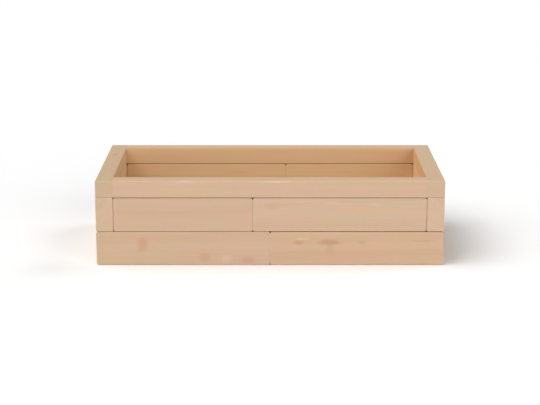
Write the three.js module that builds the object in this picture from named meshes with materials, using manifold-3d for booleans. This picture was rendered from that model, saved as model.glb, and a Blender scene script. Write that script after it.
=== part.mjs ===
// Raised garden bed of planed softwood: a base course, a middle course and a
// cap frame of timbers, laid like brickwork and pegged together with fluted
// hardwood dowels that stay hidden in blind sockets. Open at top and bottom.
//
// Millimetres, +Z up. The origin is the middle of the footprint, on the ground.
// X runs along the bed, and the front faces -Y.

import * as THREE from 'three';
import { mergeVertices } from 'three/addons/utils/BufferGeometryUtils.js';
import Module from 'manifold-3d';

const wasm = await Module();
wasm.setup();

// ---------------------------------------------------------------- dimensions

const bedLength = 1000; // outside, along X
const bedWidth = 500; // outside, along Y
const wallThickness = 50; // every timber is this thick
const baseHeight = 100;
const middleHeight = 100;
const capHeight = 50;

// Where the front walls are joined end to end, from the middle of the bed.
// The back wall is the same after half a turn about Z.
const baseJointX = 0;
const middleJointX = -50;

const buttGap = 0.3; // between two timbers end to end
const cornerGap = 0.8; // where a timber stops against one that runs through
const capJointGap = 0.1; // the cap is a glued frame with hairline joints

const arrisRadius = 3; // long edges of the base and middle timbers, planed round
const noseRadius = 5; // corners of a nosed end, seen from the side
const endArris = 0.8; // the other edges of an end, only eased

const capTopRadius = 4; // edges of the cap frame, routed after it is glued up
const capFootRadius = 2;
const capCornerRadius = 2; // its four upright outer edges

const dowelDiameter = 20;
const dowelDepth = 30; // how far a dowel reaches into each timber
const dowelChamfer = 2;
const fluteCount = 8;
const fluteDepth = 0.7;
const dowelEndInset = 50; // from the end of a lap to its outermost dowels
const shortLap = 100; // a lap up to this length holds a single dowel

const socketClearance = 0.3; // round the dowel
const socketSpare = 0.5; // beyond each end of the dowel
const socketChamfer = 1.2; // eased mouth of a socket

// How finely round edges and holes are faceted.
const roundFacets = 4; // in each quarter round
const socketSides = 12;

const halfLength = bedLength / 2;
const halfWidth = bedWidth / 2;
const innerHalfLength = halfLength - wallThickness;
const innerHalfWidth = halfWidth - wallThickness;
const endLine = halfLength - wallThickness / 2; // centre line of the end walls
const sideLine = halfWidth - wallThickness / 2; // centre line of front and back

// ------------------------------------------------------------------- colours

const sapwood = 0xdcbc94;
const honeyPine = 0xd3ae84;
const redPine = 0xcfa57c;
const beech = 0xc79f78;

const planed = 0.7; // roughness of the timbers
const turned = 0.6; // and of the dowels

function material(color, roughness) {
  return new THREE.MeshStandardMaterial({ color, roughness, metalness: 0 });
}

// ------------------------------------------------------------ solid geometry

function toSolid(geometry) {
  const bare = geometry.clone();
  bare.deleteAttribute('normal');
  bare.deleteAttribute('uv');
  const merged = mergeVertices(bare, 1e-4);
  return new wasm.Manifold(
    new wasm.Mesh({
      numProp: 3,
      vertProperties: new Float32Array(merged.attributes.position.array),
      triVerts: new Uint32Array(merged.index.array),
    })
  );
}

function toGeometry(solid) {
  const mesh = solid.getMesh();
  const geometry = new THREE.BufferGeometry();
  geometry.setAttribute('position', new THREE.BufferAttribute(mesh.vertProperties, 3));
  geometry.setIndex(new THREE.BufferAttribute(mesh.triVerts, 1));
  return geometry;
}

// Anticlockwise points of a centred rectangle, with round corners if it has a
// radius.
function rectangle(width, height, radius) {
  const facets = radius > 0 ? roundFacets : 0;
  const points = [];
  for (let corner = 0; corner < 4; corner += 1) {
    const x = (width / 2 - radius) * (corner % 3 === 0 ? 1 : -1);
    const y = (height / 2 - radius) * (corner < 2 ? 1 : -1);
    for (let i = 0; i <= facets; i += 1) {
      const angle = (corner + i / (facets || 1)) * (Math.PI / 2);
      const bend = new THREE.Vector2(Math.cos(angle), Math.sin(angle));
      points.push(new THREE.Vector2(x, y).addScaledVector(bend, radius));
    }
  }
  return points;
}

// --------------------------------------------- planks of the base and middle

// A blank along X, centred on the origin: its section has the long arrises,
// and its ends are eased all round.
function plankBlank(length, height) {
  const section = new THREE.Shape(rectangle(wallThickness, height, arrisRadius));
  const blank = new THREE.ExtrudeGeometry(section, {
    depth: length - 2 * endArris,
    steps: 1,
    bevelEnabled: true,
    bevelThickness: endArris,
    bevelSize: endArris,
    bevelOffset: -endArris,
    bevelSegments: 1,
  });
  blank.translate(0, 0, endArris - length / 2);
  const alongX = new THREE.Matrix4().makeBasis(
    new THREE.Vector3(0, 1, 0),
    new THREE.Vector3(0, 0, 1),
    new THREE.Vector3(1, 0, 0)
  );
  return toSolid(blank.applyMatrix4(alongX));
}

// The side view of a nosed plank, as a slab wider than the plank is thick. A
// blank cut to it loses the corners of its ends.
function nosedOutline(length, height) {
  const depth = 2 * wallThickness;
  const outline = new THREE.Shape(rectangle(length, height, noseRadius));
  const slab = new THREE.ExtrudeGeometry(outline, { depth, bevelEnabled: false });
  slab.translate(0, 0, -depth / 2);
  return toSolid(slab.rotateX(Math.PI / 2));
}

// A plank along X over the origin, sitting on z = 0, before its sockets.
function plankSolid(spec, height) {
  const length = spec.end - spec.start;
  let solid = plankBlank(length, height);
  if (spec.nosed) solid = solid.intersect(nosedOutline(length, height));
  return solid.translate([0, 0, height / 2]);
}

// ------------------------------------------------------------------ cap frame

// Closed loft through flat rings with equally many points, lowest ring first.
function loft(rings) {
  const count = rings[0].length;
  const flat = rings[0].map((p) => new THREE.Vector2(p.x, p.y));
  const top = (rings.length - 1) * count;
  const index = THREE.ShapeUtils.triangulateShape(flat, []).flatMap(
    ([a, b, c]) => [a, c, b, top + a, top + b, top + c]
  );
  for (let low = 0; low < top; low += count) {
    for (let i = 0; i < count; i += 1) {
      const a = low + i;
      const b = low + ((i + 1) % count);
      index.push(a, b, b + count, a, b + count, a + count);
    }
  }
  const geometry = new THREE.BufferGeometry().setFromPoints(rings.flat());
  geometry.setIndex(index);
  return toSolid(geometry);
}

// Heights up the cap, and how far its round edges stand back there.
function capProfile() {
  const foot = [];
  const crown = [];
  for (let i = 0; i <= roundFacets; i += 1) {
    const angle = (i / roundFacets) * (Math.PI / 2);
    const sin = Math.sin(angle);
    const cos = Math.cos(angle);
    foot.push({ z: capFootRadius * (1 - cos), back: capFootRadius * (1 - sin) });
    crown.push({ z: capHeight - capTopRadius * (1 - sin), back: capTopRadius * (1 - cos) });
  }
  return [...foot, ...crown];
}

// The whole frame in place over z = 0: a slab with round edges, less its
// opening, whose edges are rounded the same way.
function capFrame() {
  const over = 1; // the opening's cutter runs past both faces
  const profile = capProfile();
  const ring = (z, halfX, halfY, radius) =>
    rectangle(2 * halfX, 2 * halfY, radius).map((p) => new THREE.Vector3(p.x, p.y, z));
  const slab = loft(
    profile.map(({ z, back }) =>
      ring(z, halfLength - back, halfWidth - back, capCornerRadius)
    )
  );
  const through = [
    { z: -over, back: capFootRadius },
    ...profile,
    { z: capHeight + over, back: capTopRadius },
  ];
  const opening = loft(
    through.map(({ z, back }) => ring(z, innerHalfLength + back, innerHalfWidth + back, 0))
  );
  return slab.subtract(opening);
}

// A rail along X over the origin, sitting on z = 0: the stretch of the frame
// between its joints, brought back from its place.
function railSolid(spec, frame) {
  const over = 1;
  const [x, y, turn] = placeOf(spec);
  const stretch = new THREE.BoxGeometry(
    spec.end - spec.start,
    wallThickness,
    capHeight + 2 * over
  );
  stretch.translate(0, 0, capHeight / 2);
  const unturned = frame.translate([-x, -y, 0]).rotate([0, 0, -turn]);
  return unturned.intersect(toSolid(stretch));
}

// --------------------------------------------------------------------- dowel

// Fluted section: crowns on the dowel's diameter, one groove between each two.
function dowelSection(radius) {
  const points = [];
  for (let i = 0; i < 2 * fluteCount; i += 1) {
    const angle = (i * Math.PI) / fluteCount;
    const reach = i % 2 === 0 ? radius : radius - fluteDepth;
    points.push(new THREE.Vector2(reach * Math.cos(angle), reach * Math.sin(angle)));
  }
  return new THREE.Shape(points);
}

function dowelGeometry() {
  const length = 2 * dowelDepth;
  const dowel = new THREE.ExtrudeGeometry(dowelSection(dowelDiameter / 2), {
    depth: length - 2 * dowelChamfer,
    steps: 1,
    bevelEnabled: true,
    bevelThickness: dowelChamfer,
    bevelSize: dowelChamfer,
    bevelOffset: -dowelChamfer,
    bevelSegments: 1,
  });
  return toGeometry(toSolid(dowel.translate(0, 0, dowelChamfer - length / 2)));
}

// Cutter for a blind socket: its mouth is at z = 0 and it goes down from there.
// Its flats, not its corners, clear the dowel.
function socketCutter() {
  const flat = dowelDiameter / 2 + socketClearance;
  const radius = flat / Math.cos(Math.PI / socketSides);
  const depth = dowelDepth + socketSpare;
  const above = 1;
  const profile = [
    new THREE.Vector2(0, -depth),
    new THREE.Vector2(radius, -depth),
    new THREE.Vector2(radius, -socketChamfer),
    new THREE.Vector2(radius + socketChamfer + above, above),
    new THREE.Vector2(0, above),
  ];
  return toSolid(new THREE.LatheGeometry(profile, socketSides).rotateX(Math.PI / 2));
}

// ----------------------------------------------------------- lay-up of courses

// A timber runs along `axis` from `start` to `end`; `line` is its centre line
// on the other axis.
function timber(name, axis, line, start, end, nosed, color) {
  return { name, axis, line, start, end, nosed, color, sockets: [] };
}

// Where a timber lies and how it is turned: x, y and degrees about Z.
function placeOf(spec) {
  const middle = (spec.start + spec.end) / 2;
  return spec.axis === 'x' ? [middle, spec.line, 0] : [spec.line, middle, 90];
}

// A front or back wall of two planks, butted at `joint`.
function buttedWall(name, line, reach, joint, [leftColor, rightColor]) {
  const gap = buttGap / 2;
  return [
    timber(`${name}_left`, 'x', line, -reach, joint - gap, true, leftColor),
    timber(`${name}_right`, 'x', line, joint + gap, reach, true, rightColor),
  ];
}

// The pair of timbers at the ends of a course.
function endPair(name, reach, nosed, [leftColor, rightColor]) {
  return [
    timber(`${name}_left`, 'y', -endLine, -reach, reach, nosed, leftColor),
    timber(`${name}_right`, 'y', endLine, -reach, reach, nosed, rightColor),
  ];
}

// Base course: front and back run out to the corners, the ends stop inside.
const base = [
  ...buttedWall('base_front', -sideLine, halfLength, baseJointX, [honeyPine, sapwood]),
  ...buttedWall('base_back', sideLine, halfLength, -baseJointX, [sapwood, redPine]),
  ...endPair('base_end', innerHalfWidth - cornerGap, true, [honeyPine, sapwood]),
];

// Middle course: the ends run out to the corners and are cut square, front and
// back stop inside.
const middleReach = innerHalfLength - cornerGap;
const middle = [
  ...buttedWall('middle_front', -sideLine, middleReach, middleJointX, [sapwood, honeyPine]),
  ...buttedWall('middle_back', sideLine, middleReach, -middleJointX, [redPine, sapwood]),
  ...endPair('middle_end', halfWidth, false, [sapwood, honeyPine]),
];

// Cap frame: one rail a side, the end rails run out to the corners.
const railReach = innerHalfLength - capJointGap;
const cap = [
  timber('cap_front', 'x', -sideLine, -railReach, railReach, false, sapwood),
  timber('cap_back', 'x', sideLine, -railReach, railReach, false, sapwood),
  ...endPair('cap', halfWidth, false, [honeyPine, redPine]),
];

// ------------------------------------------------------------------- pegging

// The stretch that a timber covers along `axis`, whichever way it runs.
function span(spec, axis) {
  if (spec.axis === axis) return [spec.start, spec.end];
  return [spec.line - wallThickness / 2, spec.line + wallThickness / 2];
}

function overlap(a, b) {
  return [Math.max(a[0], b[0]), Math.min(a[1], b[1])];
}

// Dowel places where an upper timber lies on a lower one: one in the middle of
// a short lap, else one near each end.
function lapDowels(lower, upper) {
  const [x0, x1] = overlap(span(lower, 'x'), span(upper, 'x'));
  const [y0, y1] = overlap(span(lower, 'y'), span(upper, 'y'));
  if (x1 <= x0 || y1 <= y0) return [];
  const [x, y] = [(x0 + x1) / 2, (y0 + y1) / 2];
  const length = lower.axis === 'x' ? x1 - x0 : y1 - y0;
  if (length <= shortLap) return [[x, y]];
  const reach = length / 2 - dowelEndInset;
  return lower.axis === 'x'
    ? [[x - reach, y], [x + reach, y]]
    : [[x, y - reach], [x, y + reach]];
}

function wallOf(spec) {
  if (spec.axis === 'x') return spec.line < 0 ? 'front' : 'back';
  return spec.line < 0 ? 'left' : 'right';
}

// Pegs a course to the one below: notes a socket in both timbers of each lap
// and returns the dowels, numbered along each wall.
function pegCourses(level, lowerCourse, upperCourse, seamHeight) {
  const geometry = dowelGeometry();
  const counts = {};
  const dowels = new THREE.Group();
  for (const lower of lowerCourse) {
    for (const upper of upperCourse) {
      for (const [x, y] of lapDowels(lower, upper)) {
        lower.sockets.push({ at: lower.axis === 'x' ? x : y, side: 'top' });
        upper.sockets.push({ at: upper.axis === 'x' ? x : y, side: 'bottom' });
        const wall = wallOf(lower);
        counts[wall] = (counts[wall] ?? 0) + 1;
        const dowel = new THREE.Mesh(geometry, material(beech, turned));
        dowel.name = `${level}_dowel_${wall}_${counts[wall]}`;
        dowel.position.set(x, y, seamHeight);
        dowels.add(dowel);
      }
    }
  }
  return dowels;
}

// ------------------------------------------------------------------ assembly

const middleFloor = baseHeight;
const capFloor = baseHeight + middleHeight;

const bed = new THREE.Group();
bed.name = 'raised_garden_bed';
bed.add(pegCourses('lower', base, middle, middleFloor));
bed.add(pegCourses('upper', middle, cap, capFloor));

const socket = socketCutter();

// A timber's mesh: its solid less its sockets, laid in its place.
function makeTimber(spec, height, blank) {
  let solid = blank;
  for (const { at, side } of spec.sockets) {
    const cutter = side === 'top' ? socket : socket.rotate([180, 0, 0]);
    const along = at - (spec.start + spec.end) / 2;
    solid = solid.subtract(cutter.translate([along, 0, side === 'top' ? height : 0]));
  }
  const mesh = new THREE.Mesh(toGeometry(solid), material(spec.color, planed));
  const [x, y, turn] = placeOf(spec);
  mesh.name = spec.name;
  mesh.position.set(x, y, 0);
  mesh.rotation.z = THREE.MathUtils.degToRad(turn);
  return mesh;
}

function layCourse(timbers, floor, height, blankOf) {
  const course = new THREE.Group();
  course.position.z = floor;
  for (const spec of timbers) course.add(makeTimber(spec, height, blankOf(spec)));
  return course;
}

const frame = capFrame();
bed.add(layCourse(base, 0, baseHeight, (spec) => plankSolid(spec, baseHeight)));
bed.add(layCourse(middle, middleFloor, middleHeight, (spec) => plankSolid(spec, middleHeight)));
bed.add(layCourse(cap, capFloor, capHeight, (spec) => railSolid(spec, frame)));

export default bed;
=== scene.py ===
import math
import random
from collections import namedtuple

import bpy
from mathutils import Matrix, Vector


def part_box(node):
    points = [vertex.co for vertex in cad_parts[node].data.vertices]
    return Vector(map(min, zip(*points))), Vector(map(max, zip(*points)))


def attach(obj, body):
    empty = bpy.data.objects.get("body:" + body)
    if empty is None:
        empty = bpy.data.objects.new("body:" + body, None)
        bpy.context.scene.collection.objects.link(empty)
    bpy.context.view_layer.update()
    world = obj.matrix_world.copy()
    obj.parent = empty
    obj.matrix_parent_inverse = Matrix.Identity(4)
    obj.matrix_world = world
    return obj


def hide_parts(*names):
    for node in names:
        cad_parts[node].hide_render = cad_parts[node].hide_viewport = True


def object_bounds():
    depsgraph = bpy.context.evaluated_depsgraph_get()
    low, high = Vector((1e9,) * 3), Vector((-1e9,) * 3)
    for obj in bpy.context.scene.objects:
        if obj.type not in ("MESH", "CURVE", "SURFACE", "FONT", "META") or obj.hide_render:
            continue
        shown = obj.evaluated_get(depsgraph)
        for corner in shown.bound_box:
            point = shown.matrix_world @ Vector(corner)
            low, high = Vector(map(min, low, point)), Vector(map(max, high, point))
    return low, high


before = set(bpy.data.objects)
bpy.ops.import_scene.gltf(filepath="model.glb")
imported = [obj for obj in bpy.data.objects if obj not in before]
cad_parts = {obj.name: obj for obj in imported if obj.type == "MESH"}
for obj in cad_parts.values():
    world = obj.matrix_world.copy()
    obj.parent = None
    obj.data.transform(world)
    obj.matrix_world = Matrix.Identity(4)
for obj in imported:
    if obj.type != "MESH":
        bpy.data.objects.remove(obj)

cad_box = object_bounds()

# --------------------------------------------------------------------- camera
# The bed is seen square from the front through a long lens, a few metres off
# and a little above it, so its rim shows as a thin trapezium.

camera_back = 4.494  # metres in front of the middle of the bed
camera_height = 1.243
camera_dip = 0.244  # radians below the horizon
camera_lens = 101.97  # millimetres, on a sensor 36 mm wide

camera = bpy.data.objects.new("camera", bpy.data.cameras.new("camera"))
camera.data.lens = camera_lens
camera.data.sensor_width = 36
camera.location = (0, -camera_back, camera_height)
camera.rotation_euler = (math.pi / 2 - camera_dip, 0, 0)
bpy.context.collection.objects.link(camera)
bpy.context.scene.camera = camera
bpy.context.scene.view_settings.view_transform = "Standard"

# ------------------------------------------------------------ floor and light
# A white studio floor that runs on without an edge, and five soft lamps round
# the bed: its shadows lie beside and behind it, the darker one on the right.


class Wire:
    """One output of a node. Python sums on wires add Math nodes, or Vector Math
    nodes where a vector is in them."""

    def __init__(self, socket):
        self.socket = socket

    @classmethod
    def node(cls, tree, kind, settings=None, inputs=None, output=0):
        """Adds a node, with its settings first, and returns one of its outputs."""
        node = tree.nodes.new(kind)
        for name, value in (settings or {}).items():
            setattr(node, name, value)
        for key, value in (inputs or {}).items():
            socket = cls.named(node.inputs, key)
            if isinstance(value, (Wire, list)):
                for wire in value if isinstance(value, list) else [value]:
                    tree.links.new(wire.socket, socket)
            else:
                socket.default_value = value
        return cls(cls.named(node.outputs, output))

    @staticmethod
    def named(sockets, key):
        """A socket by its place, its name or its identifier."""
        if isinstance(key, int):
            return sockets[key]
        return next(s for s in sockets if s.enabled and key in (s.name, s.identifier))

    def maths(self, operation, *others, output=0, first=None):
        """A Math or Vector Math node on this wire and others, or with first before them."""
        terms = [self if first is None else first, *others]
        flat = all(not w.many() if isinstance(w, Wire) else not isinstance(w, tuple) for w in terms)
        if flat:
            kind = "ShaderNodeMath"
        else:
            kind = "ShaderNodeVectorMath"
            terms = [w if isinstance(w, (Wire, tuple)) else (w, w, w) for w in terms]
        return Wire.node(
            self.socket.id_data, kind, {"operation": operation}, dict(enumerate(terms)), output
        )

    def many(self):
        """Whether the wire carries a vector or a colour, and not one number."""
        return self.socket.type in ("VECTOR", "RGBA")

    def ends(self, kind):
        """Links this wire to the tree's output node."""
        tree = self.socket.id_data
        tree.links.new(self.socket, tree.nodes.new(kind).inputs[0])

    def __add__(self, other):
        return self.maths("ADD", other)

    __radd__ = __add__

    def __sub__(self, other):
        return self.maths("SUBTRACT", other)

    def __rsub__(self, other):
        return self.maths("SUBTRACT", self, first=other)

    def __mul__(self, other):
        return self.maths("MULTIPLY", other)

    __rmul__ = __mul__

    def __truediv__(self, other):
        return self.maths("DIVIDE", other)

    def __rtruediv__(self, other):
        return self.maths("DIVIDE", self, first=other)

    def __pow__(self, power):
        return self.maths("POWER", power)

    def __abs__(self):
        return self.maths("ABSOLUTE")

    def least(self, other):
        return self.maths("MINIMUM", other)

    def most(self, other):
        return self.maths("MAXIMUM", other)

    def length(self):
        return self.maths("LENGTH", output="Value")

    def part(self, axis):
        """One of the three numbers of a vector."""
        return Wire.node(self.socket.id_data, "ShaderNodeSeparateXYZ", inputs={0: self}, output=axis)

    def step(self, low, high):
        """0 below low and 1 above high, smoothly between."""
        return Wire.node(
            self.socket.id_data,
            "ShaderNodeMapRange",
            {"interpolation_type": "SMOOTHSTEP"},
            {"Value": self, "From Min": low, "From Max": high},
        )

    def blend(self, first, second):
        """A mix of two colours by this factor."""
        return Wire.node(
            self.socket.id_data,
            "ShaderNodeMix",
            {"data_type": "RGBA"},
            {"Factor_Float": self, "A_Color": first, "B_Color": second},
            "Result_Color",
        )

    def noise(self, waves, detail=2.0, roughness=0.5, seed=0.0, output="Fac"):
        """Noise at this place, with so many waves a metre along each axis."""
        return Wire.node(
            self.socket.id_data,
            "ShaderNodeTexNoise",
            {"noise_dimensions": "4D"},
            {"Vector": self * waves, "W": seed, "Scale": 1.0, "Detail": detail, "Roughness": roughness},
            output,
        )


def colour(red, green, blue):
    """The scene's linear colour for one written as it looks on a screen, 0 to 255."""
    def linear(level):
        share = level / 255
        return share / 12.92 if share <= 0.04045 else ((share + 0.055) / 1.055) ** 2.4

    return (linear(red), linear(green), linear(blue), 1.0)


white = (1.0, 1.0, 1.0, 1.0)
floor_grey = (0.8, 0.8, 0.8, 1.0)
floor_shown = (1.06, 1.06, 1.06, 1.0)  # to the camera, so that its open part is just white
floor_reach = 40.0
floor_drop = 0.0003  # keeps the floor clear of the undersides

# The world is a white backdrop that is seen, mirrored or looked through, and
# lights nothing by itself.
studio = bpy.data.worlds.new("studio")
studio.use_nodes = True
studio.node_tree.nodes.clear()
seen = Wire.node(studio.node_tree, "ShaderNodeLightPath", output="Is Camera Ray")
mirrored = Wire.node(studio.node_tree, "ShaderNodeLightPath", output="Is Glossy Ray")
through = Wire.node(studio.node_tree, "ShaderNodeLightPath", output="Is Transmission Ray")
backdrop = Wire.node(
    studio.node_tree,
    "ShaderNodeBackground",
    inputs={"Color": white, "Strength": (seen + mirrored + through).least(1)},
)
backdrop.ends("ShaderNodeOutputWorld")
bpy.context.scene.world = studio

paper = bpy.data.materials.new("white_floor")
paper.use_nodes = True
paper.node_tree.nodes.clear()
seen = Wire.node(paper.node_tree, "ShaderNodeLightPath", output="Is Camera Ray")
matt = Wire.node(
    paper.node_tree, "ShaderNodeBsdfDiffuse", inputs={"Color": seen.blend(floor_grey, floor_shown)}
)
matt.ends("ShaderNodeOutputMaterial")

floor_mesh = bpy.data.meshes.new("floor")
floor_mesh.from_pydata(
    [(x * floor_reach, y * floor_reach, -floor_drop) for x, y in ((-1, -1), (1, -1), (1, 1), (-1, 1))],
    [],
    [(0, 1, 2, 3)],
)
floor_mesh.materials.append(paper)
floor = bpy.data.objects.new("floor", floor_mesh)
bpy.context.collection.objects.link(floor)

# A lamp is set by the side it shines from, with 0 in front and 90 on the right,
# its height above the horizon, its strength and the width of its disc in the
# sky. The angles are in degrees.
Lamp = namedtuple("Lamp", "name azimuth elevation strength width")
lamps = (
    Lamp("high_left", -100, 60, 1.20, 45),
    Lamp("left", -65, 35, 0.97, 45),
    Lamp("front_left", -30, 45, 0.74, 28),
    Lamp("front_right", 30, 15, 1.63, 45),
    Lamp("back_right", 120, 45, 0.64, 28),
)
for lamp in lamps:
    sun = bpy.data.lights.new(lamp.name, "SUN")
    sun.energy = lamp.strength
    sun.angle = math.radians(lamp.width)
    holder = bpy.data.objects.new(lamp.name, sun)
    holder.rotation_euler = (math.radians(90 - lamp.elevation), 0, math.radians(lamp.azimuth))
    bpy.context.collection.objects.link(holder)

# ---------------------------------------------------------------- base course
# Six planks of planed softwood, 100 mm high and 50 mm thick, on the ground.
# Front and back are two planks each, butted in the middle, and the end planks
# stop between them. Long arrises are planed round and end corners nosed.

mm = 0.001
long_arris = 3 * mm
nose = 7 * mm
end_ease = 0.8 * mm
square_end = 0.8 * mm
socket_width = 20.6 * mm
socket_depth = 30.5 * mm
mouth_ease = 1.2 * mm
socket_sides = 32

# An arris wanders from its radius by a share of it, in so many waves a metre
# along the timber, and each of the four long edges in its own way.
arris_unevenness = 0.22
wander_waves = (6, 0, 0)
edges_apart = (0, 3, 7)

# Where the mesh is fine: within this of each edge, in so many steps.
edge_zone = 6 * mm
edge_steps = 8
core_steps = (40, 4, 8)

# A face is flat when its normal lies along an axis by this much or more, and an
# edge is sharp from this angle on.
flat_face = 0.99999
crease = math.radians(35)


def open_tree(name, sizes):
    """A geometry tree with named inputs, as wires."""
    tree = bpy.data.node_groups.new(name, "GeometryNodeTree")
    tree.interface.new_socket(name="Geometry", in_out="INPUT", socket_type="NodeSocketGeometry")
    for label, kind in sizes.items():
        tree.interface.new_socket(name=label, in_out="INPUT", socket_type="NodeSocket" + kind)
    tree.interface.new_socket(name="Geometry", in_out="OUTPUT", socket_type="NodeSocketGeometry")
    source = tree.nodes.new("NodeGroupInput")
    return tree, {s.name: Wire(s) for s in source.outputs if s.name}


def close_tree(tree, solid, finish):
    """Shades flats flat and rounds smooth, makes instances real, sets the material and ends the tree."""
    normal = Wire.node(tree, "GeometryNodeInputNormal")
    squareness = abs(normal.part("X")).most(abs(normal.part("Y"))).most(abs(normal.part("Z")))
    solid = Wire.node(
        tree,
        "GeometryNodeSetShadeSmooth",
        {"domain": "FACE"},
        {"Geometry": solid, "Shade Smooth": squareness.maths("LESS_THAN", flat_face)},
    )
    angle = Wire.node(tree, "GeometryNodeInputMeshEdgeAngle", output="Unsigned Angle")
    solid = Wire.node(
        tree,
        "GeometryNodeSetShadeSmooth",
        {"domain": "EDGE"},
        {"Geometry": solid, "Shade Smooth": angle.maths("LESS_THAN", crease)},
    )
    solid = Wire.node(tree, "GeometryNodeRealizeInstances", inputs={"Geometry": solid})
    solid = Wire.node(
        tree, "GeometryNodeSetMaterial", inputs={"Geometry": solid, "Material": finish}
    )
    solid.ends("NodeGroupOutput")


def fine_block(tree, half, cores):
    """A box whose faces are divided finely near their edges, and where its points lie."""
    counts = {f"Vertices {a}": cores[i] + 2 * edge_steps + 1 for i, a in enumerate("XYZ")}
    block = Wire.node(tree, "GeometryNodeMeshCube", inputs={"Size": (2, 2, 2), **counts})
    even = Wire.node(tree, "GeometryNodeInputPosition")
    share = abs(even)
    inside = tuple(count / (count + 2 * edge_steps) for count in cores)
    outside = tuple(1 - part for part in inside)
    along = (share - inside).most(0) / outside
    reach = (share / inside).least(1) * (half - edge_zone) + along * (2 - along) * edge_zone
    return block, even.maths("SIGN") * reach


def round_over(at, half, radius, around):
    """Pulls the edges between two pairs of faces back onto a radius; around is 1 for those two axes."""
    beyond = (abs(at) - half + radius).most(0) * around
    shrink = (1 - radius / beyond.length()).most(0)
    return at - at.maths("SIGN") * beyond * shrink


def peg_sockets(tree, points):
    """Cutters for blind sockets that reach both ways from their points, with an eased mouth there."""
    rings = 4
    cutter = Wire.node(
        tree,
        "GeometryNodeMeshCylinder",
        inputs={
            "Vertices": socket_sides,
            "Side Segments": rings,
            "Radius": socket_width / 2,
            "Depth": 2 * socket_depth,
        },
    )
    at = Wire.node(tree, "GeometryNodeInputPosition")
    height = at.part("Z")
    level = abs(height) / socket_depth
    end = level.maths("GREATER_THAN", 1 - 1 / rings)
    mouth = level.maths("LESS_THAN", 1 / rings)
    widen = 1 + mouth * (mouth_ease / (socket_width / 2))
    up = height.maths("SIGN") * (mouth_ease + end * (socket_depth - mouth_ease)) * (1 - mouth)
    place = Wire.node(
        tree,
        "ShaderNodeCombineXYZ",
        inputs={"X": at.part("X") * widen, "Y": at.part("Y") * widen, "Z": up},
    )
    cutter = Wire.node(
        tree, "GeometryNodeSetPosition", inputs={"Geometry": cutter, "Position": place}
    )
    row = Wire.node(
        tree, "GeometryNodeInstanceOnPoints", inputs={"Points": points, "Instance": cutter}
    )
    return Wire.node(tree, "GeometryNodeRealizeInstances", inputs={"Geometry": row})


def cut(tree, operation, solid, tool):
    """What is left of a solid after a tool, or what it shares with one."""
    solids = {"Mesh 1": solid, "Mesh 2": tool}
    if operation == "INTERSECT":
        solids = {"Mesh 2": [solid, tool]}
    return Wire.node(
        tree, "GeometryNodeMeshBoolean", {"operation": operation, "solver": "MANIFOLD"}, solids
    )


def plank_tree():
    """A planed plank along X, rounded and nosed, bored for its pegs, then turned and laid in place."""
    tree, size = open_tree(
        "planed_plank",
        {
            "Blank": "Vector",
            "Long Arris": "Float",
            "Nose": "Float",
            "End Ease": "Float",
            "Unevenness": "Float",
            "Seed": "Float",
            "Foot Crown": "Vector",
            "Top Crown": "Vector",
            "Place": "Vector",
            "Turn": "Float",
            "Pine": "Material",
        },
    )
    half = size["Blank"] * 0.5
    block, at = fine_block(tree, half, core_steps)
    corner = at * wander_waves + at.maths("SIGN") * edges_apart
    wander = 1 + size["Unevenness"] * (corner.noise((1, 1, 1), 1, seed=size["Seed"]) * 2 - 1)
    at = round_over(at, half, size["Long Arris"] * wander, (0, 1, 1))
    at = round_over(at, half, size["Nose"] * wander, (1, 0, 1))
    at = round_over(at, half, size["End Ease"], (1, 1, 0))

    # A bedding face stands highest in its middle and falls by its crown to the edges.
    share = at / half
    up = share.part("Z")
    foot = (share * share).maths("DOT_PRODUCT", size["Foot Crown"], output="Value")
    top = (share * share).maths("DOT_PRODUCT", size["Top Crown"], output="Value")
    fall = top * up.most(0) + foot * up.least(0)
    at = at - fall * (0, 0, 1)
    plank = Wire.node(tree, "GeometryNodeSetPosition", inputs={"Geometry": block, "Position": at})
    plank = cut(tree, "DIFFERENCE", plank, peg_sockets(tree, size["Geometry"]))
    turn = Wire.node(tree, "ShaderNodeCombineXYZ", inputs={"Z": size["Turn"]})
    plank = Wire.node(
        tree,
        "GeometryNodeTransform",
        inputs={"Geometry": plank, "Translation": size["Place"], "Rotation": turn},
    )
    close_tree(tree, plank, size["Pine"])
    return tree


def grow(name, tree, points, sizes):
    """Runs a geometry tree on a few points, and leaves its result as a plain piece."""
    start = bpy.data.meshes.new(name)
    start.from_pydata(points, [], [])
    piece = bpy.data.objects.new(name, start)
    bpy.context.collection.objects.link(piece)
    modifier = piece.modifiers.new(tree.name, "NODES")
    modifier.node_group = tree
    inputs = [item for item in tree.interface.items_tree if item.in_out == "INPUT"]
    sockets = {item.name: item.identifier for item in inputs}
    for label, value in sizes.items():
        modifier[sockets[label]] = value
    ready = piece.evaluated_get(bpy.context.evaluated_depsgraph_get())
    mesh = bpy.data.meshes.new_from_object(ready)
    piece.modifiers.remove(modifier)
    piece.data = mesh
    mesh.name = name
    bpy.data.meshes.remove(start)
    return piece


def pegs_in(low, high):
    """Seam points of the pegs that a timber shares with its neighbours."""
    points = []
    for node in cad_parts:
        if "dowel" in node:
            peg_low, peg_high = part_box(node)
            middle = (peg_low + peg_high) / 2
            on_timber = all(low[i] < middle[i] < high[i] for i in (0, 1))
            if on_timber and peg_low.z < high.z and peg_high.z > low.z:
                points.append(middle)
    return points


pink_wood = colour(220, 185, 158)
green_wood = colour(216, 187, 155)
late_wood = colour(204, 160, 121)
knot_brown = colour(176, 122, 88)
knot_red = colour(201, 150, 118)
resin_yellow = colour(222, 178, 126)
pale_grain = colour(228, 200, 173)
grey_stain = colour(190, 160, 132)

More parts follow.
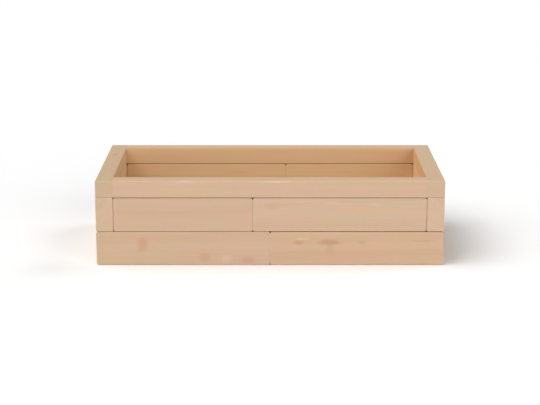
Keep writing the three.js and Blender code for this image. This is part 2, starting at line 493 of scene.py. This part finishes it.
# Growth rings. Late wood rises and ends at these shares of a ring's width, good
# and bad years shift the rings by so many of their widths, and narrow years
# show as darker bands between these levels of their noise.
ring_width = 2.4 * mm
late_rise = (0.35, 0.9)
late_end = (0.92, 1.0)
late_strength = 0.16
year_waves = (90, 1, 1)
year_drift = 3.5
lean_waves = (55, 1, 1)
lean_seed = 7  # sets them apart from the drift
lean_band = (0.42, 0.72)
lean_strength = 0.20

# Figure along the timber. Waves are counted a metre along, into and up it.
sway_waves = (1.6, 11, 11)
sway_reach = 11 * mm
patch_waves = (10, 24, 24)
patch_band = (0.38, 0.62)  # from pink wood to green
streak_waves = (3.5, 110, 110)
streak_contrast = 0.08
fibre_waves = (9, 620, 620)
fibre_harshness = 0.6
fibre_contrast = 0.08

# The planed surface: relief of the late wood and the fibres, and its shine.
ring_depth = 0.03 * mm
fibre_depth = 0.02 * mm
planed_roughness = 0.72
late_polish = 0.06
fibre_roughness = 0.2
matt_shine = 0.12  # raw planed wood hardly reflects

# Painted bounce light: the faces towards the soil are painted a deeper honey colour, for the warm light
# that the wooden walls throw on each other inside the bed. It ends in their arrises.
soil_reach = (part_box("cap_right")[0].x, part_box("cap_back")[0].y, 0)
painted_bounce_tint = (1.05, 0.965, 0.80, 1.0)
painted_bounce_fade = 4 * mm

# Painted shade: the faces that the timbers hide between them are painted dark from behind the arrises
# on, for the shade that falls into the seams, sockets and joints.
painted_gap_shade = (0.16, 0.11, 0.08, 1.0)
gap_shade_start = 0.8 * mm
gap_shade_fade = 1.2 * mm
bed_middle = (cad_box[0] + cad_box[1]) / 2
bed_reach = (cad_box[1] - cad_box[0]) / 2

# Something that shows in the wood: where it is in the bed, its half sizes along
# the bed, into it and up, its colour, its strength, and how far it bends the
# rings round it. It fades between two shares of its size, with a ragged edge.
Mark = namedtuple("Mark", "at size tint strength bend")
mark_fade = (0.25, 1.0)
ragged_waves = (160, 160, 160)
ragged_reach = 6 * mm
bend_reach = 2.2  # in the mark's sizes


def pine(name, low, high, heart, slope, tone, marks, bounce_light_tint):
    """Planed softwood. Its rings run round a heart line that lies off the timber, so ends show
    arcs and faces show long grain; slope makes the rings run out on the faces as arches."""
    wood = bpy.data.materials.new(name)
    wood.use_nodes = True
    tree = wood.node_tree
    tree.nodes.clear()
    middle = (low + high) / 2
    turned = high.y - low.y > high.x - low.x
    seed = random.Random(name).uniform(0, 50)

    def shake(place, waves, reach):
        """Steps to all sides of a place, by up to half a reach."""
        return (place.noise(waves, 2, seed=seed, output="Color") - (0.5, 0.5, 0.5)) * reach

    place = Wire.node(tree, "ShaderNodeTexCoord", output="Object")
    grain = Wire.node(
        tree,
        "ShaderNodeMapping",
        {"vector_type": "TEXTURE"},
        {"Vector": place, "Location": middle, "Rotation": (0, 0, math.pi / 2 if turned else 0)},
    )
    bent = grain + shake(grain, sway_waves, sway_reach)

    masks = []
    radius = ((bent - (0, *heart)) * (0, 1, 1)).length() + bent.part("X") * slope
    for mark in marks:
        ragged = place + shake(place, ragged_waves, ragged_reach)
        off = ((ragged - mark.at) / mark.size).length()
        masks.append(1 - off.step(*mark_fade))
        if mark.bend:
            near = ((place - mark.at) / tuple(bend_reach * s for s in mark.size)).length()
            radius = radius + (1 - near.step(0.0, 1.0)) * mark.bend

    years = Wire.node(tree, "ShaderNodeCombineXYZ", inputs={"X": radius, "Y": seed})
    drift = years.noise(year_waves, 2, seed=seed) * year_drift
    growth = (radius / ring_width + drift).maths("FRACT")
    late = growth.step(*late_rise) * (1 - growth.step(*late_end))
    lean_years = years.noise(lean_waves, 1, seed=seed + lean_seed).step(*lean_band)
    fibre = bent.noise(fibre_waves, 3, fibre_harshness, seed)
    streak = bent.noise(streak_waves, 2, seed=seed)
    patch = bent.noise(patch_waves, 2, seed=seed)

    past_soil = abs(place) - soil_reach
    from_soil = past_soil.part("X").most(past_soil.part("Y"))
    depth = tuple(bed_reach) - abs(place - tuple(bed_middle))
    depth = Wire.node(
        tree,
        "ShaderNodeCombineXYZ",
        inputs={"X": depth.part("X").least(depth.part("Y")), "Y": from_soil, "Z": depth.part("Z")},
    )
    within = nose - (nose - depth).most((0, 0, 0)).length()  # depth in a wall with round edges
    # where the painted shade of the gaps falls
    gap_shade_mask = within.step(gap_shade_start, gap_shade_start + gap_shade_fade)

    tint = patch.step(*patch_band).blend(pink_wood, green_wood)
    tint = (late * late_strength + lean_years * lean_strength).blend(tint, late_wood)
    # painted bounce light on the faces towards the soil
    tint = tint * tone * from_soil.step(0.0, painted_bounce_fade).blend(bounce_light_tint, white)
    # painted shade in the gaps between the timbers
    tint = tint * gap_shade_mask.blend(white, painted_gap_shade)
    tint = tint * (1 + (fibre - 0.5) * fibre_contrast + (streak - 0.5) * streak_contrast)
    for mark, mask in zip(marks, masks):
        tint = (mask * mark.strength).blend(tint, mark.tint)

    height = late * ring_depth + fibre * fibre_depth
    normal = Wire.node(
        tree, "ShaderNodeBump", inputs={"Height": height, "Distance": 1.0, "Strength": 1.0}
    )
    roughness = planed_roughness - late * late_polish + (fibre - 0.5) * fibre_roughness
    surface = Wire.node(
        tree,
        "ShaderNodeBsdfPrincipled",
        inputs={
            "Base Color": tint,
            "Roughness": roughness,
            "Specular IOR Level": matt_shine,
            "Normal": normal,
        },
    )
    surface.ends("ShaderNodeOutputMaterial")
    return wood


plank_maker = plank_tree()

# How far the edges of a plank's bedding faces lie back from their middles, in
# millimetres: at its ends and at its long arrises, for the foot and for the top.
Crown = namedtuple("Crown", "foot_end foot_side top_end top_side", defaults=(0, 0, 0, 0))

# Two planks are butted where they end this near the bed's middle, and each
# reaches a little into the gap between them.
near_middle = 0.1
butt_reach = 0.045 * mm


def lay_plank(node, nosed, crown, heart, slope, tone, marks, bounce_light_tint=painted_bounce_tint):
    """A plank in place of its CAD node. The heart of its rings lies off the plank's middle by
    so much into the timber and up, and tone lightens or darkens its red, green and blue."""
    low, high = (corner.copy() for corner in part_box(node))
    extent = high - low
    turned = extent.y > extent.x
    if not turned and abs(low.x) < near_middle:
        low.x -= butt_reach
    if not turned and abs(high.x) < near_middle:
        high.x += butt_reach
    middle = (low + high) / 2
    extent = high - low
    length, thickness = (extent.y, extent.x) if turned else (extent.x, extent.y)
    points = []
    for peg in pegs_in(low, high):
        along = peg.y - middle.y if turned else peg.x - middle.x
        points.append((along, 0, peg.z - middle.z))
    plank = grow(
        node + "_plank",
        plank_maker,
        points,
        {
            "Blank": (length, thickness, extent.z),
            "Long Arris": long_arris,
            "Nose": nose if nosed else square_end,
            "End Ease": end_ease,
            "Unevenness": arris_unevenness,
            "Seed": random.Random(node).uniform(0, 100),
            "Foot Crown": (crown.foot_end * mm, crown.foot_side * mm, 0),
            "Top Crown": (crown.top_end * mm, crown.top_side * mm, 0),
            "Place": middle,
            "Turn": math.pi / 2 if turned else 0.0,
            "Pine": pine(node + "_pine", low, high, heart, slope, tone, marks, bounce_light_tint),
        },
    )
    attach(plank, "root")
    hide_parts(node)


left_x, front_y = cad_box[0].xy
right_x, back_y = cad_box[1].xy
tight = Crown()
low_side = Crown(top_side=0.70)

lay_plank(
    "base_front_left",
    nosed=True,
    crown=tight,
    heart=(0.06, 0.07),
    slope=0.012,
    tone=(0.90, 0.92, 0.93),
    marks=(
        Mark((-0.366, front_y, 0.063), (0.024, 0.03, 0.030), knot_red, 0.60, 0.004),
        Mark((-0.190, front_y, 0.0345), (0.110, 0.02, 0.0035), late_wood, 0.45, 0.0),
        Mark((-0.188, front_y, 0.023), (0.022, 0.02, 0.019), knot_red, 0.45, 0.002),
        Mark((-0.124, front_y, 0.019), (0.022, 0.02, 0.017), pale_grain, 0.35, 0.0),
        Mark((-0.064, front_y, 0.015), (0.030, 0.02, 0.014), knot_brown, 0.25, 0.002),
    ),
)
lay_plank(
    "base_front_right",
    nosed=True,
    crown=low_side,
    heart=(0.05, -0.06),
    slope=-0.015,
    tone=(0.91, 0.90, 0.89),
    marks=(
        Mark((0.081, front_y, 0.0676), (0.025, 0.02, 0.009), knot_brown, 0.32, 0.002),
        Mark((0.093, front_y, 0.0790), (0.030, 0.02, 0.004), pale_grain, 0.5, 0.0),
        Mark((0.171, front_y, 0.0684), (0.044, 0.02, 0.013), knot_brown, 0.40, 0.005),
        Mark((0.172, front_y, 0.045), (0.018, 0.02, 0.030), grey_stain, 0.35, 0.0),
        Mark((0.265, front_y, 0.0679), (0.018, 0.02, 0.007), knot_brown, 0.22, 0.002),
        Mark((0.440, front_y, 0.0723), (0.060, 0.02, 0.004), knot_brown, 0.22, 0.0),
    ),
)
lay_plank(
    "base_back_left",
    nosed=True,
    crown=low_side,
    heart=(-0.07, 0.05),
    slope=0.014,
    tone=(0.92, 0.925, 0.92),
    marks=(
        Mark((-0.310, back_y, 0.041), (0.020, 0.03, 0.024), knot_red, 0.60, 0.004),
        Mark((-0.082, back_y, 0.074), (0.034, 0.02, 0.008), knot_brown, 0.35, 0.003),
    ),
)
lay_plank(
    "base_back_right",
    nosed=True,
    crown=tight,
    heart=(-0.05, -0.08),
    slope=-0.012,
    tone=(0.91, 0.90, 0.88),
    marks=(
        Mark((0.205, back_y, 0.058), (0.019, 0.03, 0.018), knot_brown, 0.55, 0.004),
        Mark((0.402, back_y, 0.026), (0.085, 0.02, 0.005), resin_yellow, 0.40, 0.0),
    ),
)
lay_plank(
    "base_end_left",
    nosed=True,
    crown=low_side,
    heart=(0.05, -0.05),
    slope=0.016,
    tone=(0.92, 0.915, 0.91),
    marks=(Mark((left_x, -0.065, 0.036), (0.03, 0.017, 0.019), knot_brown, 0.55, 0.004),),
)
lay_plank(
    "base_end_right",
    nosed=True,
    crown=low_side,
    heart=(-0.06, 0.06),
    slope=-0.016,
    tone=(0.93, 0.925, 0.92),
    marks=(Mark((right_x, 0.085, 0.061), (0.03, 0.030, 0.012), knot_red, 0.50, 0.003),),
)

# -------------------------------------------------------------- middle course
# Six more planks of the same size, laid so that no joint is over another. The
# end planks run out to the corners and are cut square; front and back stop
# between them, and their joints lie one thickness off the middle of the bed.

low_top = Crown(top_side=0.80)
bowed_foot = Crown(foot_end=0.45, foot_side=0.1)

# Painted light on the inner faces of the ends: the left one is painted paler than the back, as if more
# light reached it, and the right one is painted redder, for the warm light bounced inside the bed.
painted_left_end_light = (1.28, 1.16, 1.00, 1.0)
painted_right_end_bounce = (1.17, 0.97, 0.74, 1.0)
inner_back_y = soil_reach[1]

lay_plank(
    "middle_front_left",
    nosed=True,
    crown=low_top,
    heart=(0.05, 0.12),
    slope=0.008,
    tone=(0.91, 0.90, 0.925),
    marks=(Mark((-0.38, front_y, 0.1259), (0.080, 0.02, 0.008), resin_yellow, 0.20, 0.0),),
)
lay_plank(
    "middle_front_right",
    nosed=True,
    crown=low_top,
    heart=(0.06, 0.06),
    slope=0.014,
    tone=(0.91, 0.925, 0.945),
    marks=(
        Mark((0.006, front_y, 0.1744), (0.022, 0.02, 0.013), knot_red, 0.32, 0.002),
        Mark((0.178, front_y, 0.1865), (0.032, 0.02, 0.004), pale_grain, 0.32, 0.0),
        Mark((0.296, front_y, 0.1806), (0.028, 0.02, 0.004), pale_grain, 0.32, 0.0),
        Mark((0.245, front_y, 0.1665), (0.090, 0.02, 0.007), resin_yellow, 0.45, 0.0),
        Mark((0.345, front_y, 0.1640), (0.050, 0.02, 0.007), resin_yellow, 0.45, 0.0),
    ),
)
lay_plank(
    "middle_back_left",
    nosed=True,
    crown=low_top,
    heart=(-0.06, 0.07),
    slope=0.014,
    tone=(0.94, 0.945, 0.87),
    marks=(
        Mark((-0.260, back_y, 0.163), (0.026, 0.03, 0.020), knot_brown, 0.50, 0.004),
        Mark((-0.100, inner_back_y, 0.172), (0.060, 0.02, 0.006), late_wood, 0.35, 0.0),
    ),
)
lay_plank(
    "middle_back_right",
    nosed=True,
    crown=low_top,
    heart=(-0.05, -0.07),
    slope=0.010,
    tone=(0.965, 0.965, 0.89),
    marks=(Mark((0.285, back_y, 0.138), (0.016, 0.03, 0.016), knot_red, 0.60, 0.003),),
)
lay_plank(
    "middle_end_left",
    nosed=False,
    crown=bowed_foot,
    heart=(0.05, 0.06),
    slope=0.012,
    tone=(0.91, 0.935, 0.96),
    marks=(Mark((left_x, 0.118, 0.158), (0.03, 0.022, 0.022), knot_red, 0.60, 0.004),),
    bounce_light_tint=painted_left_end_light,
)
lay_plank(
    "middle_end_right",
    nosed=False,
    crown=bowed_foot,
    heart=(-0.05, 0.07),
    slope=-0.012,
    tone=(0.93, 0.95, 0.995),
    marks=(Mark((right_x, -0.105, 0.142), (0.03, 0.018, 0.015), knot_brown, 0.50, 0.004),),
    bounce_light_tint=painted_right_end_bounce,
)

# ------------------------------------------------------------------ cap frame
# Four square rails glued up into one frame, the end rails running through to
# the corners. Its edges were routed after the glue-up, outside and in, so the
# joints are flush hairlines and the round edges run on across them.

cap_rails = ("cap_front", "cap_back", "cap_left", "cap_right")
top_round = 4 * mm
foot_round = 2 * mm
corner_round = 2 * mm
cap_steps = (90, 45, 6)
rail_waves = 6  # a metre, in which its edges wander
frame_seed = 4.0  # one for all four rails, so that their edges meet
cutter_spare = 0.1  # how far a cutter reaches past the wood, as a share of its thickness


def rail_tree():
    """The routed cap frame, bored for its pegs and cut down to the stretch of one rail."""
    tree, size = open_tree(
        "routed_rail",
        {
            "Frame": "Vector",
            "Frame Middle": "Vector",
            "Wall": "Float",
            "Top Round": "Float",
            "Foot Round": "Float",
            "Corner Round": "Float",
            "Unevenness": "Float",
            "Seed": "Float",
            "Rail": "Vector",
            "Rail Middle": "Vector",
            "Pine": "Material",
        },
    )
    half = size["Frame"] * 0.5
    block, at = fine_block(tree, half, cap_steps)
    at = round_over(at, half, size["Corner Round"], (1, 1, 0))
    slab = Wire.node(tree, "GeometryNodeSetPosition", inputs={"Geometry": block, "Position": at})

    hole = half - size["Wall"] * (1, 1, -cutter_spare)
    cutter, place = fine_block(tree, hole, cap_steps)
    cutter = Wire.node(
        tree, "GeometryNodeSetPosition", inputs={"Geometry": cutter, "Position": place}
    )
    ring = cut(tree, "DIFFERENCE", slab, cutter)

    # Each edge stands back from its wall by what the router took off there.
    at = Wire.node(tree, "GeometryNodeInputPosition")
    sway = (at * rail_waves).noise((1, 1, 1), 1, seed=size["Seed"]) * 2 - 1
    wander = 1 + size["Unevenness"] * sway

    def stand_back(radius, depth):
        into = (radius - depth).most(0)
        return radius - (radius * radius - into * into).most(0).maths("SQRT")

    height = at.part("Z")
    top = stand_back(size["Top Round"] * wander, half.part("Z") - height)
    foot = stand_back(size["Foot Round"] * wander, half.part("Z") + height)
    back = top + foot
    past_hole = abs(at) - hole
    outward = (past_hole.part("X").most(past_hole.part("Y")) / size["Wall"]).least(1).most(0)
    flat = at * (1, 1, 0) * back
    shift = flat / hole * (1 - outward) - flat / half * outward
    ring = Wire.node(tree, "GeometryNodeSetPosition", inputs={"Geometry": ring, "Offset": shift})

    ring = Wire.node(
        tree,
        "GeometryNodeTransform",
        inputs={"Geometry": ring, "Translation": size["Frame Middle"]},
    )
    stretch = Wire.node(tree, "GeometryNodeMeshCube", inputs={"Size": size["Rail"]})
    stretch = Wire.node(
        tree,
        "GeometryNodeTransform",
        inputs={"Geometry": stretch, "Translation": size["Rail Middle"]},
    )
    rail = cut(tree, "INTERSECT", ring, stretch)
    rail = cut(tree, "DIFFERENCE", rail, peg_sockets(tree, size["Geometry"]))
    close_tree(tree, rail, size["Pine"])
    return tree


rail_maker = rail_tree()
cap_corners = [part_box(rail) for rail in cap_rails]
cap_low = cap_corners[0][0].copy()
cap_high = cap_corners[0][1].copy()
for low, high in cap_corners:
    for axis in range(3):
        cap_low[axis] = min(cap_low[axis], low[axis])
        cap_high[axis] = max(cap_high[axis], high[axis])


def fit_rail(node, heart, slope, tone, marks, bounce_light_tint=painted_bounce_tint):
    """A rail in place of its CAD node."""
    low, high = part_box(node)
    over = (high - low).z * cutter_spare
    rail_low, rail_high = low.copy(), high.copy()
    rail_low.z -= over
    rail_high.z += over
    rail = grow(
        node + "_rail",
        rail_maker,
        [tuple(peg) for peg in pegs_in(low, high)],
        {
            "Frame": cap_high - cap_low,
            "Frame Middle": (cap_high + cap_low) / 2,
            "Wall": min(high.x - low.x, high.y - low.y),
            "Top Round": top_round,
            "Foot Round": foot_round,
            "Corner Round": corner_round,
            "Unevenness": arris_unevenness / 2,
            "Seed": frame_seed,
            "Rail": rail_high - rail_low,
            "Rail Middle": (rail_high + rail_low) / 2,
            "Pine": pine(node + "_pine", low, high, heart, slope, tone, marks, bounce_light_tint),
        },
    )
    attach(rail, "root")
    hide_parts(node)


rim_z = cad_box[1].z

fit_rail(
    "cap_front",
    heart=(0.02, -0.09),
    slope=0.010,
    tone=(0.925, 0.92, 0.925),
    marks=(
        Mark((-0.245, front_y, 0.2467), (0.050, 0.02, 0.004), pale_grain, 0.5, 0.0),
        Mark((0.014, front_y, 0.2467), (0.075, 0.02, 0.004), pale_grain, 0.5, 0.0),
        Mark((-0.017, -0.239, rim_z), (0.020, 0.006, 0.01), knot_brown, 0.35, 0.0),
    ),
)
fit_rail(
    "cap_back",
    heart=(0.03, -0.08),
    slope=0.012,
    tone=(0.93, 0.92, 0.90),
    marks=(Mark((0.130, back_y, 0.228), (0.018, 0.03, 0.012), knot_red, 0.50, 0.003),),
)
fit_rail(
    "cap_left",
    heart=(0.04, -0.07),
    slope=0.012,
    tone=(0.85, 0.885, 0.85),
    marks=(Mark((-0.476, 0.105, rim_z), (0.012, 0.020, 0.01), knot_brown, 0.30, 0.002),),
    bounce_light_tint=painted_left_end_light,
)
fit_rail(
    "cap_right",
    heart=(-0.05, -0.07),
    slope=0.012,
    tone=(0.88, 0.91, 0.875),
    marks=(),
    bounce_light_tint=painted_right_end_bounce,
)

# --------------------------------------------------------------------- dowels
# Thirty fluted beech dowels, 20 mm across and 60 mm long, half in each of two
# courses. They are glued into blind sockets, so none shows on the built bed.

dowel_chamfer = 2 * mm
flute_depth = 0.7 * mm
flutes = 8
flute_narrowness = 3  # the ridges between flutes are wider, the higher this is
dowel_sides = 96
dowel_rings = 12

beech_pale = colour(214, 176, 140)
beech_fleck = colour(168, 118, 82)
fleck_waves = (1400, 1400, 320)
fleck_band = (0.58, 0.7)
fleck_strength = 0.55
fleck_depth = 0.02 * mm
beech_waves = (900, 900, 30)
beech_shades = (0.94, 0.12)  # the darkest, and what a fibre adds to it
beech_depth = 0.03 * mm
beech_roughness = (0.55, 0.15)  # likewise


def dowel_tree():
    """A round peg along Z with straight flutes and chamfered ends."""
    tree, size = open_tree(
        "fluted_dowel",
        {
            "Width": "Float",
            "Length": "Float",
            "Chamfer": "Float",
            "Flute Depth": "Float",
            "Flutes": "Float",
            "Place": "Vector",
            "Beech": "Material",
        },
    )
    peg = Wire.node(
        tree,
        "GeometryNodeMeshCylinder",
        inputs={"Vertices": dowel_sides, "Side Segments": dowel_rings, "Radius": 1.0, "Depth": 2.0},
    )
    at = Wire.node(tree, "GeometryNodeInputPosition")
    half = size["Length"] * 0.5
    level = abs(at.part("Z"))
    last = 1 - 2 / dowel_rings
    within = (level / last).least(1) * (half - size["Chamfer"])
    past = (level - last).most(0) / (1 - last)
    up = at.part("Z").maths("SIGN") * (within + past * size["Chamfer"])
    angle = at.part("Y").maths("ARCTAN2", at.part("X"))
    wave = (angle * size["Flutes"]).maths("COSINE") * 0.5 + 0.5
    radius = size["Width"] * 0.5 - size["Flute Depth"] * wave ** flute_narrowness
    radius = radius - past * size["Chamfer"]
    place = Wire.node(
        tree,
        "ShaderNodeCombineXYZ",
        inputs={"X": at.part("X") * radius, "Y": at.part("Y") * radius, "Z": up},
    )
    peg = Wire.node(
        tree, "GeometryNodeSetPosition", inputs={"Geometry": peg, "Position": place + size["Place"]}
    )
    close_tree(tree, peg, size["Beech"])
    return tree


def beech(name):
    """Straight fine-grained hardwood with the short dark flecks of its rays."""
    wood = bpy.data.materials.new(name)
    wood.use_nodes = True
    tree = wood.node_tree
    tree.nodes.clear()
    place = Wire.node(tree, "ShaderNodeTexCoord", output="Object")
    flecks = place.noise(fleck_waves, 1).step(*fleck_band)
    fibre = place.noise(beech_waves, 3, fibre_harshness)
    tint = (flecks * fleck_strength).blend(beech_pale, beech_fleck)
    tint = tint * (beech_shades[0] + fibre * beech_shades[1])
    height = fibre * beech_depth - flecks * fleck_depth
    normal = Wire.node(
        tree, "ShaderNodeBump", inputs={"Height": height, "Distance": 1.0, "Strength": 1.0}
    )
    roughness = beech_roughness[0] + fibre * beech_roughness[1]
    surface = Wire.node(
        tree,
        "ShaderNodeBsdfPrincipled",
        inputs={"Base Color": tint, "Roughness": roughness, "Normal": normal},
    )
    surface.ends("ShaderNodeOutputMaterial")
    return wood


dowel_maker = dowel_tree()
dowel_wood = beech("dowel_beech")
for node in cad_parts:
    if "dowel" in node:
        low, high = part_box(node)
        peg = grow(
            node + "_peg",
            dowel_maker,
            [],
            {
                "Width": high.x - low.x,
                "Length": high.z - low.z,
                "Chamfer": dowel_chamfer,
                "Flute Depth": flute_depth,
                "Flutes": float(flutes),
                "Place": (low + high) / 2,
                "Beech": dowel_wood,
            },
        )
        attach(peg, "root")
        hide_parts(node)
